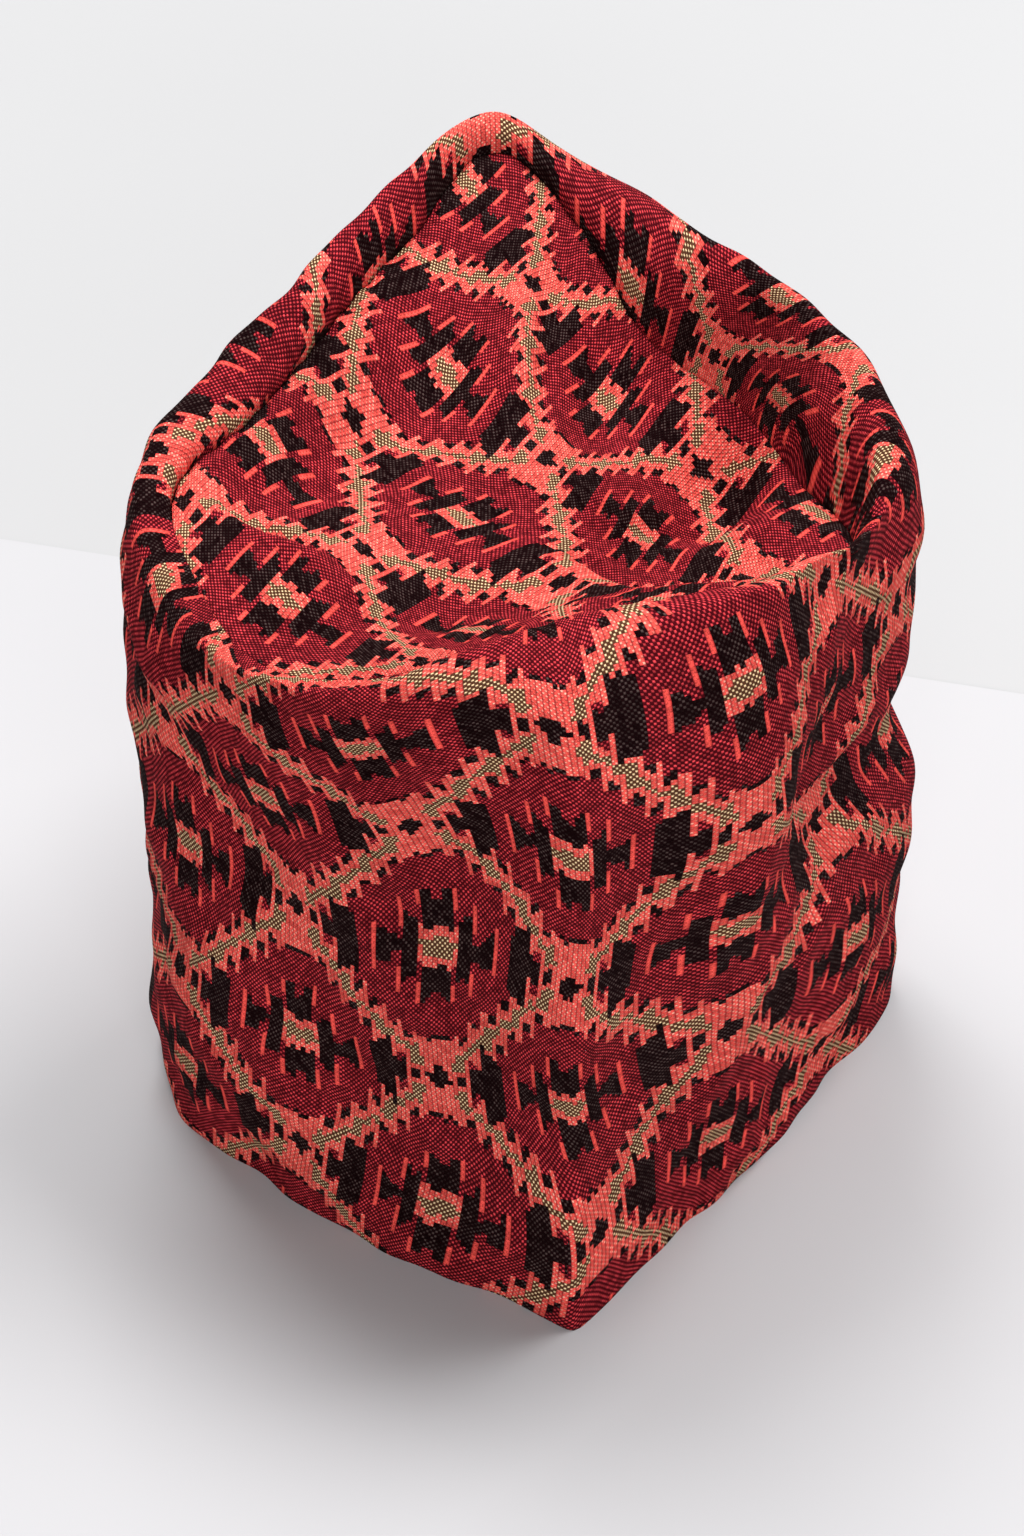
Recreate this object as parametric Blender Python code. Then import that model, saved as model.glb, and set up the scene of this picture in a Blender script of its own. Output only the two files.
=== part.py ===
"""Solids of a tall soft cap: a cloth side wall around the head and a crown panel sewn in at its top.

Metres, +Z up. The cap stands on its rim, the creased front corner towards -Y. Facings are degrees from
+X, anticlockwise seen from above. Reach is the distance from the cap's upright axis.
"""

import math

import bpy
import numpy as np

# Driving sizes
HEAD_GIRTH = 0.58
HEIGHT = 0.19
CLOTH = 0.002
SEAM_GAP = 0.0004
SEAM_LAP = 0.0026
HEAD_RADIUS = HEAD_GIRTH / (2 * math.pi)

# Mesh steps
CROWN_STEPS = 24
AROUND_STEPS = 4 * CROWN_STEPS
WALL_STEPS = 12
ROLL_STEPS = 5

# The upright crease down the front corner
FRONT_CORNER = 277.0
CREASE_SPREAD = 16.0
CREASE_TOP = 0.85
SOFT_EDGE = 12.0
CREASE_EDGE = 70.0

# Flat-ish sides of the wall: how far out each stands at the four levels (shares of HEAD_RADIUS)
SIDE_LEVELS = (0.0, 0.3, 0.55, 0.9)
SIDES = (
    # name, facing, rim, low, middle, high
    ("front left", 238.5, 0.915, 0.914, 0.910, 0.900),
    ("front right", 323.0, 0.834, 0.832, 0.832, 0.850),
    ("right", 2.0, 1.180, 1.210, 1.165, 1.190),
    ("back right", 44.0, 0.960, 0.970, 0.960, 1.000),
    ("back", 92.0, 1.150, 1.170, 1.200, 1.300),
    ("back left", 137.0, 0.850, 0.850, 0.860, 0.880),
    ("left", 184.0, 0.975, 0.972, 1.005, 1.035),
)

# The wall's rolled top edge (heights are shares of HEIGHT, reaches shares of HEAD_RADIUS)
TOP_COLUMNS = ("name", "facing", "shoulder", "crest_reach", "crest_height", "seam_reach", "seam_height")
TOP = (
    ("front", 277.7, 0.62, 0.735, 1.010, 0.640, 0.970),
    ("front right", 305.0, 0.66, 0.740, 1.005, 0.650, 0.970),
    ("right front", 332.0, 0.76, 0.845, 0.980, 0.765, 0.935),
    ("right corner", 355.0, 0.82, 0.955, 0.940, 0.885, 0.880),
    ("right", 18.0, 0.86, 0.980, 1.010, 0.800, 0.855),
    ("right back", 40.0, 0.90, 0.940, 1.040, 0.805, 0.870),
    ("back right", 64.0, 0.95, 0.930, 1.062, 0.780, 0.940),
    ("back", 80.0, 0.98, 1.020, 1.078, 0.940, 1.040),
    ("peak", 93.0, 1.00, 1.140, 1.130, 1.080, 1.095),
    ("peak left", 108.0, 0.98, 0.960, 1.105, 0.875, 1.045),
    ("back left", 135.0, 0.93, 0.802, 1.060, 0.712, 1.008),
    ("left back", 160.0, 0.88, 0.850, 1.000, 0.730, 0.970),
    ("left corner", 181.0, 0.84, 0.962, 0.975, 0.880, 0.950),
    ("left front", 200.0, 0.80, 0.940, 0.930, 0.870, 0.922),
    ("front left", 221.0, 0.78, 0.920, 0.897, 0.855, 0.890),
    ("front edge", 240.0, 0.76, 0.840, 0.920, 0.780, 0.910),
    ("front turn", 257.0, 0.66, 0.790, 0.975, 0.720, 0.950),
)

# Folds of the wall: depth is a share of HEAD_RADIUS, out of the cap above 0; spread is in degrees,
# rise a share of HEIGHT, and slant the degrees that the fold moves round over the whole height
WALL_FOLDS = (
    # name, facing, height, spread, rise, depth, slant
    ("right waist", 358.0, 0.520, 22.0, 0.060, -0.050, 30.0),
    ("right low bulge", 356.0, 0.330, 24.0, 0.140, 0.030, 0.0),
    ("right shoulder bulge", 318.0, 0.760, 13.0, 0.130, 0.045, 20.0),
    ("right drag", 336.0, 0.620, 9.0, 0.110, -0.030, 90.0),
    ("right back hollow", 30.0, 0.620, 12.0, 0.160, -0.040, 20.0),
    ("left pinch", 190.0, 0.800, 9.0, 0.060, -0.045, -60.0),
    ("left rim tuck", 208.0, 0.000, 14.0, 0.160, -0.036, 0.0),
    ("front left hollow", 224.0, 0.620, 11.0, 0.140, -0.038, -70.0),
    ("front left swell", 245.0, 0.560, 11.0, 0.200, 0.026, -50.0),
    ("front left drag", 262.0, 0.740, 8.0, 0.110, -0.030, -90.0),
    ("right belly", 312.0, 0.520, 19.0, 0.330, 0.100, 0.0),
    ("low left swell", 212.0, 0.200, 12.0, 0.140, 0.022, 0.0),
    ("back hollow", 66.0, 0.480, 15.0, 0.200, -0.040, 20.0),
    ("back swell", 92.0, 0.360, 14.0, 0.220, 0.020, 0.0),
    ("back left hollow", 118.0, 0.520, 14.0, 0.180, -0.040, -30.0),
    ("back left drag", 152.0, 0.700, 9.0, 0.140, -0.030, 60.0),
)

# Sag and folds of the crown: along and across are half lengths, all plan lengths shares of HEAD_RADIUS,
# rise a share of HEIGHT, and heading the way that the fold runs
CROWN_MIDDLE = 0.915
CROWN_FOLDS = (
    # name, x, y, heading, along, across, rise
    ("right dent", 0.560, 0.330, 62.0, 0.320, 0.180, -0.130),
    ("right valley", 0.420, -0.080, 168.0, 0.420, 0.170, -0.070),
    ("back hollow", 0.280, 0.560, 62.0, 0.360, 0.150, -0.075),
    ("middle ridge", 0.030, 0.420, 98.0, 0.480, 0.140, 0.045),
    ("left valley", -0.420, 0.230, 48.0, 0.500, 0.160, -0.050),
    ("left tuck", -0.560, -0.260, 143.0, 0.360, 0.130, 0.032),
    ("front valley", -0.080, -0.380, 18.0, 0.520, 0.150, -0.040),
    ("front swell", -0.400, -0.600, 150.0, 0.300, 0.170, 0.022),
)

# Looks of the two solids
WALL_COLOUR = (0.300, 0.030, 0.040, 1.0)
CROWN_COLOUR = (0.340, 0.040, 0.045, 1.0)
CLOTH_ROUGHNESS = 0.85


def curve(knots, values, at):
    """A smooth curve through the points (knots, values); the first and last point only steer its ends."""
    slopes = (values[2:] - values[:-2]) / (knots[2:] - knots[:-2])
    left = np.searchsorted(knots, at, side="right") - 2
    left = np.clip(left, 0, len(slopes) - 2)
    span = knots[left + 2] - knots[left + 1]
    rise = values[left + 2] - values[left + 1]
    share = (at - knots[left + 1]) / span
    start = slopes[left] * span - rise
    end = rise - slopes[left + 1] * span
    bend = share * (1 - share) * (start * (1 - share) + end * share)
    return values[left + 1] + share * rise + bend


def top_value(column, facing):
    """One column of the TOP table as a smooth closed curve round the cap."""
    place = TOP_COLUMNS.index(column)
    rows = sorted(TOP, key=lambda row: row[1])
    knots = np.array([row[1] for row in rows])
    values = np.array([row[place] for row in rows])
    knots = np.concatenate((knots[-2:] - 360, knots, knots[:2] + 360))
    values = np.concatenate((values[-2:], values, values[:2]))
    return curve(knots, values, np.mod(facing, 360))


def side_distance(shares, level):
    """How far out one side stands at a level, as a smooth curve through its four columns."""
    lowest = 2 * SIDE_LEVELS[0] - SIDE_LEVELS[1]
    highest = 2 * SIDE_LEVELS[-1] - SIDE_LEVELS[-2]
    knots = np.array((lowest,) + SIDE_LEVELS + (highest,))
    values = np.array((shares[0],) + tuple(shares) + (shares[-1],))
    return curve(knots, values, level) * HEAD_RADIUS


def turned_from(facing, centre):
    """Degrees from one facing to another, the short way round."""
    return np.mod(facing - centre + 180, 360) - 180


def wall_reach(facing, level, inset):
    """Reach of the upright wall: a polygon of the SIDES, moved in by inset, with softened corners.

    Each side asks for cos(turn) / distance; a power mean of these, taken to minus one, is the reach. A
    high power keeps a corner sharp, as along the front crease, which fades towards the top.
    """
    crease = np.exp(-((turned_from(facing, FRONT_CORNER) / CREASE_SPREAD) ** 2))
    fade = np.clip(1 - level / CREASE_TOP, 0, 1)
    power = SOFT_EDGE + (CREASE_EDGE - SOFT_EDGE) * crease * fade
    total = 0.0
    for name, side_facing, *shares in SIDES:
        distance = side_distance(shares, level) - inset
        lean = np.maximum(np.cos(np.radians(facing - side_facing)), 0)
        total = total + (lean / distance) ** power
    return total ** (-1 / power)


def wall_folds(facing, level):
    """How far all the wall's folds push it out: a soft oval bump or hollow for each row."""
    push = 0.0
    for name, centre, height, spread, rise, depth, slant in WALL_FOLDS:
        turn = turned_from(facing, centre + slant * (level - height)) / spread
        climb = (level - height) / rise
        push = push + depth * HEAD_RADIUS * np.exp(-(turn**2) - climb**2)
    return push


def wall_profile(facing, stage, inset):
    """Reach and height of the wall's face at a stage of its way from the rim to the crown seam.

    Stage 0 to 1 climbs the wall, 1 to 2 is a quarter of an oval in to the crest, 2 to 3 another quarter
    down to the seam, and 3 to 4 the short lap below it. The inner face is the same way with its inset.
    """
    shoulder = top_value("shoulder", facing)
    level = np.minimum(stage, 1) * shoulder
    crest_reach = top_value("crest_reach", facing) * HEAD_RADIUS
    crest_height = top_value("crest_height", facing) * HEIGHT - inset
    seam_reach = top_value("seam_reach", facing) * HEAD_RADIUS + inset
    seam_height = top_value("seam_height", facing) * HEIGHT - inset
    turn_in = np.clip(stage - 1, 0, 1) * math.pi / 2
    turn_down = np.clip(stage - 2, 0, 1) * math.pi / 2
    upright = wall_reach(facing, level, inset)
    height = level * HEIGHT + (crest_height - shoulder * HEIGHT) * np.sin(turn_in)
    reach = crest_reach + (upright - crest_reach) * np.cos(turn_in)
    past_crest = stage > 2
    height = np.where(past_crest, seam_height + (crest_height - seam_height) * np.cos(turn_down), height)
    reach = np.where(past_crest, crest_reach + (seam_reach - crest_reach) * np.sin(turn_down), reach)
    reach = reach + wall_folds(facing, height / HEIGHT) * np.cos(turn_down)
    lap_foot = top_value("seam_height", facing) * HEIGHT - SEAM_LAP
    height = height + (lap_foot - seam_height) * np.clip(stage - 3, 0, 1)
    return reach, height


def place(facing, reach, height):
    """Points from facing, reach and height."""
    angle = np.radians(facing)
    return np.stack((reach * np.cos(angle), reach * np.sin(angle), height), axis=-1)


def crown_top(facing, ring):
    """The crown's upper face: ring is 0 in the middle and 1 at the seam.

    It falls from the seam to the middle with the square of ring, and the folds of the table, which
    fade out at the seam, raise or lower it.
    """
    reach = (top_value("seam_reach", facing) * HEAD_RADIUS - SEAM_GAP) * ring
    seam_height = top_value("seam_height", facing) * HEIGHT
    points = place(facing, reach, CROWN_MIDDLE * HEIGHT + (seam_height - CROWN_MIDDLE * HEIGHT) * ring**2)
    hold = 1 - ring**6
    for name, x, y, heading, along, across, rise in CROWN_FOLDS:
        from_x = points[..., 0] / HEAD_RADIUS - x
        from_y = points[..., 1] / HEAD_RADIUS - y
        way = math.radians(heading)
        forward = (from_x * math.cos(way) + from_y * math.sin(way)) / along
        sideways = (from_y * math.cos(way) - from_x * math.sin(way)) / across
        points[..., 2] += rise * HEIGHT * np.exp(-(forward**2) - sideways**2) * hold
    return points


def square_rings():
    """Facing and ring of a square grid laid on the crown, its outer ring on the wall's own facings."""
    line = np.linspace(-1, 1, CROWN_STEPS + 1)
    across, back = np.meshgrid(line, line)
    ring = np.maximum(abs(across), abs(back))
    safe = np.maximum(ring, 1 / CROWN_STEPS)
    right = across >= abs(back)
    left = -across >= abs(back)
    behind = (back > 0) & ~right & ~left
    facing = np.where(behind, 90 - 45 * across / safe, 270 + 45 * across / safe)
    facing = np.where(left, 180 - 45 * back / safe, facing)
    facing = np.where(right, 45 * back / safe, facing)
    return facing + FRONT_CORNER + 45, ring


def add_solid(name, points, faces, colour, shift):
    """One smooth-shaded object from points and faces, with its own material."""
    mesh = bpy.data.meshes.new(name)
    mesh.from_pydata((points + shift).tolist(), [], faces)
    mesh.update()
    mesh.shade_smooth()
    material = bpy.data.materials.new(name)
    material.use_nodes = True
    shader = material.node_tree.nodes["Principled BSDF"]
    shader.inputs["Base Color"].default_value = colour
    shader.inputs["Roughness"].default_value = CLOTH_ROUGHNESS
    mesh.materials.append(material)
    solid = bpy.data.objects.new(name, mesh)
    bpy.context.scene.collection.objects.link(solid)
    return solid


def wall_points():
    """Rows of points up the wall's outer face, over the roll, and back down its inner face."""
    climb = np.linspace(0, 1, WALL_STEPS, endpoint=False)
    turn_in = np.linspace(1, 2, ROLL_STEPS, endpoint=False)
    turn_down = np.linspace(2, 3, ROLL_STEPS, endpoint=False)
    stages = np.concatenate((climb, turn_in, turn_down, (3.0, 4.0)))
    facings = FRONT_CORNER + np.arange(AROUND_STEPS) * 360 / AROUND_STEPS
    facing, stage = np.meshgrid(facings, stages)
    outer = place(facing, *wall_profile(facing, stage, 0.0))
    inner = place(facing, *wall_profile(facing, stage, CLOTH))
    return np.concatenate((outer, inner[::-1]))


def wall_faces(rows):
    """Quads of the closed tube: every row joins the next one, and the last joins the first."""
    faces = []
    for row in range(rows):
        above = (row + 1) % rows
        for column in range(AROUND_STEPS):
            beside = (column + 1) % AROUND_STEPS
            faces.append(
                (
                    row * AROUND_STEPS + column,
                    row * AROUND_STEPS + beside,
                    above * AROUND_STEPS + beside,
                    above * AROUND_STEPS + column,
                )
            )
    return faces


def crown_points():
    """The crown's upper face, then the same points one cloth lower."""
    top = crown_top(*square_rings()).reshape(-1, 3)
    return np.concatenate((top, top - (0, 0, CLOTH)))


def crown_faces():
    """Quads of the upper face, the lower face and the edge between them."""
    side = CROWN_STEPS + 1
    below = side * side
    faces = []
    for row in range(CROWN_STEPS):
        for column in range(CROWN_STEPS):
            first = row * side + column
            quad = (first, first + 1, first + side + 1, first + side)
            faces.append(quad)
            faces.append(tuple(below + corner for corner in reversed(quad)))
    last = CROWN_STEPS * side
    border = list(range(CROWN_STEPS))
    border += [step * side + CROWN_STEPS for step in range(CROWN_STEPS)]
    border += [last + CROWN_STEPS - step for step in range(CROWN_STEPS)]
    border += [last - step * side for step in range(CROWN_STEPS)]
    for start, end in zip(border, border[1:] + border[:1]):
        faces.append((start, below + start, below + end, end))
    return faces


def build():
    """Both pieces, moved so that the origin is the middle of the cap's foot."""
    for old in list(bpy.data.objects):
        bpy.data.objects.remove(old)
    wall = wall_points()
    flat = wall.reshape(-1, 3)
    middle = (flat.min(axis=0) + flat.max(axis=0)) / 2
    shift = np.array((-middle[0], -middle[1], 0.0))
    add_solid("side_wall", flat, wall_faces(len(wall)), WALL_COLOUR, shift)
    add_solid("crown", crown_points(), crown_faces(), CROWN_COLOUR, shift)


build()
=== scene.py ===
"""Looks of the tall soft cap: its woven cloth wall, the crown panel, stage, lights and camera.

Metres, +Z up, the creased front corner towards -Y. Facings are degrees from +X, anticlockwise seen from
above. Reach is the distance from the cap's upright axis. The cloth's pattern is laid by its own map: one
unit of the map is one repeat of the lattice.
"""

import math

import bpy
import numpy as np
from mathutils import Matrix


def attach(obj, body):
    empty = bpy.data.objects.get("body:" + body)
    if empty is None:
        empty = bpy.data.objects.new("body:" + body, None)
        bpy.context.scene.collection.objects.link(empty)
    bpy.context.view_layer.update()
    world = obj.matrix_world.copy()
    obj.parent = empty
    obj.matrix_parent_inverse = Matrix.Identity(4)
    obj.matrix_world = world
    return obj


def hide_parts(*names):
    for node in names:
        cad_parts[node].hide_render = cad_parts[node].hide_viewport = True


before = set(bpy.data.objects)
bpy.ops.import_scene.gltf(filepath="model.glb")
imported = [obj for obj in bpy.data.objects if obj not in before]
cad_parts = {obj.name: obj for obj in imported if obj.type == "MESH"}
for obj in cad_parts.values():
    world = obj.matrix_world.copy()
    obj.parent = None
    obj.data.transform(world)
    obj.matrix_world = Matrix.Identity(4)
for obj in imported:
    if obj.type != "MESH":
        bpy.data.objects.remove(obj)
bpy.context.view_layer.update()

# Driving sizes, the same as the solids have
HEAD_GIRTH = 0.58
HEIGHT = 0.19
CLOTH = 0.002
SEAM_GAP = 0.0004
SEAM_LAP = 0.0026
HEAD_RADIUS = HEAD_GIRTH / (2 * math.pi)

# Mesh steps of the cloth
AROUND_STEPS = 432
CROWN_STEPS = AROUND_STEPS // 4
CROWN_FINE = 2
OUTER_ROWS = (104, 20, 18)
INNER_ROWS = (40, 10, 8)

# The upright crease down the front corner
FRONT_CORNER = 277.0
CREASE_SPREAD = 16.0
CREASE_TOP = 0.85
SOFT_EDGE = 12.0
CREASE_EDGE = 70.0

# Flat-ish sides of the wall: how far out each stands at the four levels (shares of HEAD_RADIUS)
SIDE_LEVELS = (0.0, 0.3, 0.55, 0.9)
SIDES = (
    # name, facing, rim, low, middle, high
    ("front left", 238.5, 0.915, 0.914, 0.910, 0.900),
    ("front right", 323.0, 0.834, 0.832, 0.832, 0.850),
    ("right", 2.0, 1.180, 1.210, 1.165, 1.190),
    ("back right", 44.0, 0.960, 0.970, 0.960, 1.000),
    ("back", 92.0, 1.150, 1.170, 1.200, 1.300),
    ("back left", 137.0, 0.850, 0.850, 0.860, 0.880),
    ("left", 184.0, 0.975, 0.972, 1.005, 1.035),
)

# The wall's rolled top edge (heights are shares of HEIGHT, reaches shares of HEAD_RADIUS)
TOP_COLUMNS = ("name", "facing", "shoulder", "crest_reach", "crest_height", "seam_reach", "seam_height")
TOP = (
    ("front", 277.7, 0.62, 0.735, 1.010, 0.640, 0.970),
    ("front right", 305.0, 0.66, 0.740, 1.005, 0.650, 0.970),
    ("right front", 332.0, 0.76, 0.845, 0.980, 0.765, 0.935),
    ("right corner", 355.0, 0.82, 0.955, 0.940, 0.885, 0.880),
    ("right", 18.0, 0.86, 0.980, 1.010, 0.800, 0.855),
    ("right back", 40.0, 0.90, 0.940, 1.040, 0.805, 0.870),
    ("back right", 64.0, 0.95, 0.930, 1.062, 0.780, 0.940),
    ("back", 80.0, 0.98, 1.020, 1.078, 0.940, 1.040),
    ("peak", 93.0, 1.00, 1.140, 1.130, 1.080, 1.095),
    ("peak left", 108.0, 0.98, 0.960, 1.105, 0.875, 1.045),
    ("back left", 135.0, 0.93, 0.802, 1.060, 0.712, 1.008),
    ("left back", 160.0, 0.88, 0.850, 1.000, 0.730, 0.970),
    ("left corner", 181.0, 0.84, 0.962, 0.975, 0.880, 0.950),
    ("left front", 200.0, 0.80, 0.940, 0.930, 0.870, 0.922),
    ("front left", 221.0, 0.78, 0.920, 0.897, 0.855, 0.890),
    ("front edge", 240.0, 0.76, 0.840, 0.920, 0.780, 0.910),
    ("front turn", 257.0, 0.66, 0.790, 0.975, 0.720, 0.950),
)

# Folds of the wall: depth is a share of HEAD_RADIUS, out of the cap above 0; spread is in degrees,
# rise a share of HEIGHT, and slant the degrees that the fold moves round over the whole height
WALL_FOLDS = (
    # name, facing, height, spread, rise, depth, slant
    ("right waist", 358.0, 0.520, 22.0, 0.060, -0.050, 30.0),
    ("right low bulge", 356.0, 0.330, 24.0, 0.140, 0.030, 0.0),
    ("right shoulder bulge", 318.0, 0.760, 13.0, 0.130, 0.045, 20.0),
    ("right drag", 336.0, 0.620, 9.0, 0.110, -0.030, 90.0),
    ("right back hollow", 30.0, 0.620, 12.0, 0.160, -0.040, 20.0),
    ("left pinch", 190.0, 0.800, 9.0, 0.060, -0.045, -60.0),
    ("left rim tuck", 208.0, 0.000, 14.0, 0.160, -0.036, 0.0),
    ("front left hollow", 224.0, 0.620, 11.0, 0.140, -0.038, -70.0),
    ("front left swell", 245.0, 0.560, 11.0, 0.200, 0.026, -50.0),
    ("front left drag", 262.0, 0.740, 8.0, 0.110, -0.030, -90.0),
    ("right belly", 312.0, 0.520, 19.0, 0.330, 0.100, 0.0),
    ("low left swell", 212.0, 0.200, 12.0, 0.140, 0.022, 0.0),
    ("back hollow", 66.0, 0.480, 15.0, 0.200, -0.040, 20.0),
    ("back swell", 92.0, 0.360, 14.0, 0.220, 0.020, 0.0),
    ("back left hollow", 118.0, 0.520, 14.0, 0.180, -0.040, -30.0),
    ("back left drag", 152.0, 0.700, 9.0, 0.140, -0.030, 60.0),
)

# Small creases and swells that only the looks have, in the same columns
WALL_CREASES = (
    # name, facing, height, spread, rise, depth, slant
    ("left crumple", 198.0, 0.790, 4.0, 0.050, -0.016, -200.0),
    ("left crumple ridge", 203.0, 0.830, 3.5, 0.050, 0.012, -200.0),
    ("left tuck", 209.0, 0.860, 3.0, 0.060, -0.010, -120.0),
    ("waist crease", 344.0, 0.560, 10.0, 0.022, -0.016, 120.0),
    ("waist ridge", 346.0, 0.610, 9.0, 0.026, 0.010, 120.0),
    ("shoulder crease", 330.0, 0.800, 4.0, 0.090, -0.014, 60.0),
    ("shoulder ridge", 337.0, 0.850, 4.0, 0.080, 0.012, 60.0),
    ("front fold", 268.0, 0.890, 6.0, 0.050, -0.012, -60.0),
    ("front soft ridge", 252.0, 0.690, 4.5, 0.160, 0.008, -60.0),
    ("low pleat", 262.0, 0.180, 4.0, 0.110, -0.006, 20.0),
    ("low right pleat", 300.0, 0.160, 4.0, 0.130, -0.007, -10.0),
    ("back pleat", 100.0, 0.620, 4.0, 0.160, -0.010, 10.0),
    ("back left pleat", 132.0, 0.420, 5.0, 0.200, -0.010, -20.0),
    ("right back pleat", 48.0, 0.500, 4.0, 0.180, -0.010, 15.0),
    ("left foot swell", 189.0, 0.120, 12.0, 0.260, 0.038, 0.0),
    ("left foot tuck", 217.0, 0.000, 9.0, 0.120, -0.030, 0.0),
    ("front foot swell", 252.0, 0.000, 14.0, 0.100, 0.018, 0.0),
    ("right foot swell", 318.0, 0.020, 20.0, 0.130, 0.026, 0.0),
    ("left shoulder swell", 190.0, 0.800, 8.0, 0.080, 0.030, 0.0),
    ("right crest tuck", 14.0, 0.900, 18.0, 0.110, -0.026, 0.0),
)

# Sag and folds of the crown: along and across are half lengths, all plan lengths shares of HEAD_RADIUS,
# rise a share of HEIGHT, and heading the way that the fold runs
CROWN_MIDDLE = 0.915
CROWN_FOLDS = (
    # name, x, y, heading, along, across, rise
    ("right dent", 0.560, 0.330, 62.0, 0.320, 0.180, -0.130),
    ("right valley", 0.420, -0.080, 168.0, 0.420, 0.170, -0.070),
    ("back hollow", 0.280, 0.560, 62.0, 0.360, 0.150, -0.075),
    ("middle ridge", 0.030, 0.420, 98.0, 0.480, 0.140, 0.045),
    ("left valley", -0.420, 0.230, 48.0, 0.500, 0.160, -0.050),
    ("left tuck", -0.560, -0.260, 143.0, 0.360, 0.130, 0.032),
    ("front valley", -0.080, -0.380, 18.0, 0.520, 0.150, -0.040),
    ("front swell", -0.400, -0.600, 150.0, 0.300, 0.170, 0.022),
)

# Small creases of the crown that only the looks have, in the same columns
CROWN_CREASES = (
    # name, x, y, heading, along, across, rise
    ("tuck lip", -0.640, -0.170, 143.0, 0.200, 0.030, 0.013),
    ("tuck groove", -0.615, -0.120, 143.0, 0.200, 0.030, -0.015),
    ("ridge crease", 0.090, 0.560, 82.0, 0.300, 0.045, -0.018),
    ("ridge lip", 0.020, 0.560, 86.0, 0.300, 0.045, 0.012),
    ("dent crease", 0.470, 0.180, 30.0, 0.220, 0.045, -0.016),
    ("valley crease", 0.330, -0.170, 160.0, 0.260, 0.040, -0.012),
    ("corner crease", -0.700, 0.080, 110.0, 0.200, 0.040, -0.012),
    ("front crease", -0.200, -0.600, 12.0, 0.240, 0.040, -0.010),
)

# Along this stretch of the crown's edge the seam lies flush; elsewhere it is a groove
FLUSH_FACING = 222.0
FLUSH_SPREAD = 34.0
SEAM_GROOVE = 0.0016
GROOVE_WIDTH = 0.0030

# On the right and back right the groove is only a soft valley
SOFT_SEAM = 0.7
SOFT_SEAM_FACING = 22.0
SOFT_SEAM_SPREAD = 42.0

# Small pulls of the stitching along the seam
PUCKER_DEPTH = 0.0007
PUCKER_REACH = 0.0100
PUCKERS = 53

# Soft unevenness of the cloth: whole waves round the cap and over its height, and a share of RIPPLE
RIPPLE = 0.0006
RIPPLES = (
    # waves around, waves up, phase, share
    (9, 2.3, 0.4, 1.0),
    (14, -3.7, 1.9, 0.7),
    (23, 5.2, 3.1, 0.5),
    (31, -7.4, 5.0, 0.35),
    (5, 9.6, 2.2, 0.5),
)

# The lattice of the cloth, in half repeats: whole places with an even sum are the middles of diamonds,
# and those with an odd sum the knots between them
REPEAT_HEIGHT = 0.078
HALF_REPEATS_ROUND = 14
LATTICE_FACING = 277.5
LATTICE_LEVEL = 0.790

# How far one spot bends the plain lattice around it, in metres
LATTICE_SPREAD = 0.055
ROLL_LATTICE_SPREAD = 0.026
CROWN_LATTICE_SPREAD = 0.040

# Spots of the lattice, picked in the photo. Another program cast rays through them onto the solids and
# gave these numbers, but for the last row of CROWN_PLACES. Heights are shares of HEIGHT, x and y
# shares of HEAD_RADIUS.
WALL_PLACES = (
    # across, up, facing, height
    (0, 0, 277.5, 0.790),
    (0, -2, 277.4, 0.398),
    (-1, -1, 258.3, 0.591),
    (-1, -3, 258.1, 0.115),
    (1, -1, 308.0, 0.535),
    (1, 1, 312.4, 0.895),
    (1, -3, 308.1, 0.138),
    (-1, 1, 244.5, 0.858),
    (-2, 0, 226.5, 0.717),
    (-2, -2, 231.7, 0.325),
    (-3, -1, 211.0, 0.572),
    (-3, -3, 206.5, 0.135),
    (2, -2, 350.5, 0.240),
    (-1, 0, 253.7, 0.762),
    (1, 0, 310.4, 0.710),
    (0, -1, 276.9, 0.610),
    (-2, -1, 231.2, 0.542),
    (-1, -2, 258.3, 0.364),
    (0, -3, 282.1, 0.144),
)
ROLL_PLACES = (
    # the same columns, for places on the inner slope of the rolled edge
    (3, 1, 4.6, 0.963),
    (4, 2, 32.5, 0.919),
    (5, 1, 39.8, 1.030),
    (5, 2, 48.7, 0.921),
    (6, 2, 66.8, 0.986),
)
CROWN_PLACES = (
    # across, up, x, y
    (-3, 5, -0.127, 0.984),
    (-2, 4, -0.179, 0.496),
    (-1, 5, 0.249, 0.544),
    (-1, 3, -0.136, -0.020),
    (0, 4, 0.336, 0.101),
    (0, 2, -0.107, -0.502),
    (-2, 2, -0.647, 0.191),
    (-1, 1, -0.586, -0.376),
    (-2, 3, -0.423, 0.329),
    (-1, 2, -0.384, -0.180),
    (-1, 4, 0.086, 0.179),
    (-2, 5, 0.050, 0.703),
    (0, 3, 0.127, -0.258),
    (0, 1, -0.231, -0.671),
    (0, 5, 0.503, 0.416),
)

# Threads in one repeat of the cloth, and how far a colour's end wanders from thread to thread
WARP_THREADS = 62
WEFT_THREADS = 56
RAGGED = 0.024
BUNDLES_PER_THREAD = 0.09

# The field's rows of beads rise and fall by WAVE_RISE threads, once in twice WAVE_THREADS
WAVE_THREADS = 7.0
WAVE_RISE = 0.8
BEAD_ROUNDNESS = 0.7

# The stripe along a diamond's edge, as shares of a repeat
STRIPE_HALF_WIDTH = 0.016
BLOCK_START = 0.0233
BLOCK_STEP = 0.1133
BLOCK_HALF_WIDTH = 0.023
BLOCK_HALF_HEIGHT = 0.039

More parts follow.
